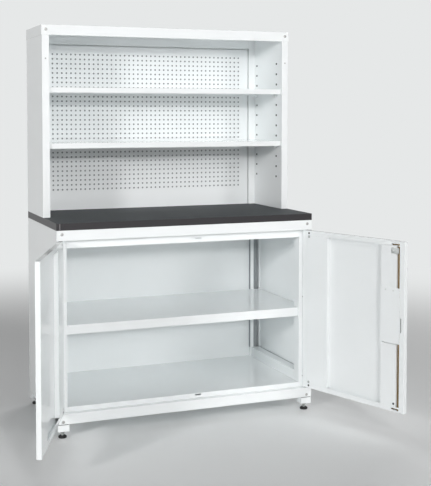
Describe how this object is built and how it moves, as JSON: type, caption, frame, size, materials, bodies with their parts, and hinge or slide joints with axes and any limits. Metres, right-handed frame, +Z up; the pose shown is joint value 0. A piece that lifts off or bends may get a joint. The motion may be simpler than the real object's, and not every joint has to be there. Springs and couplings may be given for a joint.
{
  "type": "pegboard storage stand",
  "caption": "White steel workshop stand: low cabinet with open double doors and levelling feet, dark laminate worktop, and an open shelf unit above with a pegboard back.",
  "frame": {"origin": "on the floor, under the middle of the bounding box of the stand with both doors open as pictured", "axes": "X to the right seen from the front, Y from the front towards the back, Z up"},
  "size_m": [1.5842, 1.1384, 1.775],
  "materials": {
    "white_paint": "semi-gloss powder coat on folded steel sheet",
    "slate_laminate": "fine-grained slate laminate on wood-based board",
    "black_edging": "satin plastic edge banding",
    "zinc_steel": "bright zinc plating",
    "yellow_zinc": "yellow zinc plating",
    "black_rubber": "dull",
    "handle_chrome": "satin chrome plating"
  },
  "bodies": {
    "cabinet": {"worktop_board": "slate_laminate", "worktop_edging": "black_edging", "cabinet_left_side": "white_paint", "cabinet_right_side": "white_paint", "cabinet_back": "white_paint", "front_left_post": "white_paint", "front_right_post": "white_paint", "rear_left_upright": "white_paint", "rear_right_upright": "white_paint", "front_apron": "white_paint", "door_stop_rail": "white_paint", "front_plinth": "white_paint", "rear_plinth": "white_paint", "rear_top_rail": "white_paint", "cabinet_floor": "white_paint", "floor_left_rail": "white_paint", "floor_right_rail": "white_paint", "cabinet_shelf": "white_paint", "shelf_clip_left_front": "zinc_steel", "shelf_clip_right_front": "zinc_steel", "shelf_clip_left_rear": "zinc_steel", "shelf_clip_right_rear": "zinc_steel", "foot_block_left_front": "white_paint", "foot_block_right_front": "white_paint", "foot_block_left_rear": "white_paint", "foot_block_right_rear": "white_paint", "upper_left_side": "white_paint", "upper_right_side": "white_paint", "upper_left_lining": "white_paint", "upper_right_lining": "white_paint", "upper_left_rear_post": "white_paint", "upper_right_rear_post": "white_paint", "upper_top": "white_paint", "upper_rear_rail": "white_paint", "pegboard": "white_paint", "upper_back_sheet": "white_paint", "upper_shelf_low": "white_paint", "upper_shelf_high": "white_paint"},
    "left_door": {"left_door_pan": "white_paint", "left_door_hinge_channel": "white_paint", "left_door_free_channel": "white_paint"},
    "right_door": {"right_door_pan": "white_paint", "right_door_hinge_channel": "white_paint", "right_door_lock_channel": "white_paint", "lock_cover": "white_paint", "lock_case": "zinc_steel", "handle_backplate": "handle_chrome"},
    "latch_bar": {"latch_bar": "yellow_zinc"},
    "handle_lever": {"handle_lever": "handle_chrome"},
    "lock_cylinder": {"lock_cylinder": "handle_chrome"},
    "foot_left_front": {"foot_stud_left_front": "zinc_steel", "foot_pad_left_front": "black_rubber"},
    "foot_right_front": {"foot_stud_right_front": "zinc_steel", "foot_pad_right_front": "black_rubber"},
    "foot_left_rear": {"foot_stud_left_rear": "zinc_steel", "foot_pad_left_rear": "black_rubber"},
    "foot_right_rear": {"foot_stud_right_rear": "zinc_steel", "foot_pad_right_rear": "black_rubber"}
  },
  "joints": [
    {"name": "left_door_hinge", "type": "hinge", "parent": "cabinet", "child": "left_door", "pos_m": [-0.5723, -0.01976, 0.4755], "axis": [0, 0, -1], "range_deg": [-111.3, 4.7]},
    {"name": "right_door_hinge", "type": "hinge", "parent": "cabinet", "child": "right_door", "pos_m": [0.58769, -0.01976, 0.4755], "axis": [0, 0, 1], "range_deg": [-109.3, 6.7]},
    {"name": "handle_turn", "type": "hinge", "parent": "right_door", "child": "handle_lever", "pos_m": [0.75715, -0.50365, 0.548], "axis": [-0.9438, -0.3305, 0], "range_deg": [0, 90]},
    {"name": "latch_bar_turn", "type": "hinge", "parent": "right_door", "child": "latch_bar", "pos_m": [0.76706, -0.53196, 0.4755], "axis": [0, 0, 1], "range_deg": [0, 90]},
    {"name": "key_turn", "type": "hinge", "parent": "right_door", "child": "lock_cylinder", "pos_m": [0.75715, -0.50365, 0.488], "axis": [-0.9438, -0.3305, 0], "range_deg": [0, 90]},
    {"name": "foot_left_front_slide", "type": "slide", "parent": "cabinet", "child": "foot_left_front", "axis": [0, 0, -1], "range_m": [0, 0.012]},
    {"name": "foot_right_front_slide", "type": "slide", "parent": "cabinet", "child": "foot_right_front", "axis": [0, 0, -1], "range_m": [0, 0.012]},
    {"name": "foot_left_rear_slide", "type": "slide", "parent": "cabinet", "child": "foot_left_rear", "axis": [0, 0, -1], "range_m": [0, 0.012]},
    {"name": "foot_right_rear_slide", "type": "slide", "parent": "cabinet", "child": "foot_right_rear", "axis": [0, 0, -1], "range_m": [0, 0.012]}
  ],
  "couplings": [
    {"joint": "latch_bar_turn", "follows": "handle_turn", "ratio": 1}
  ]
}
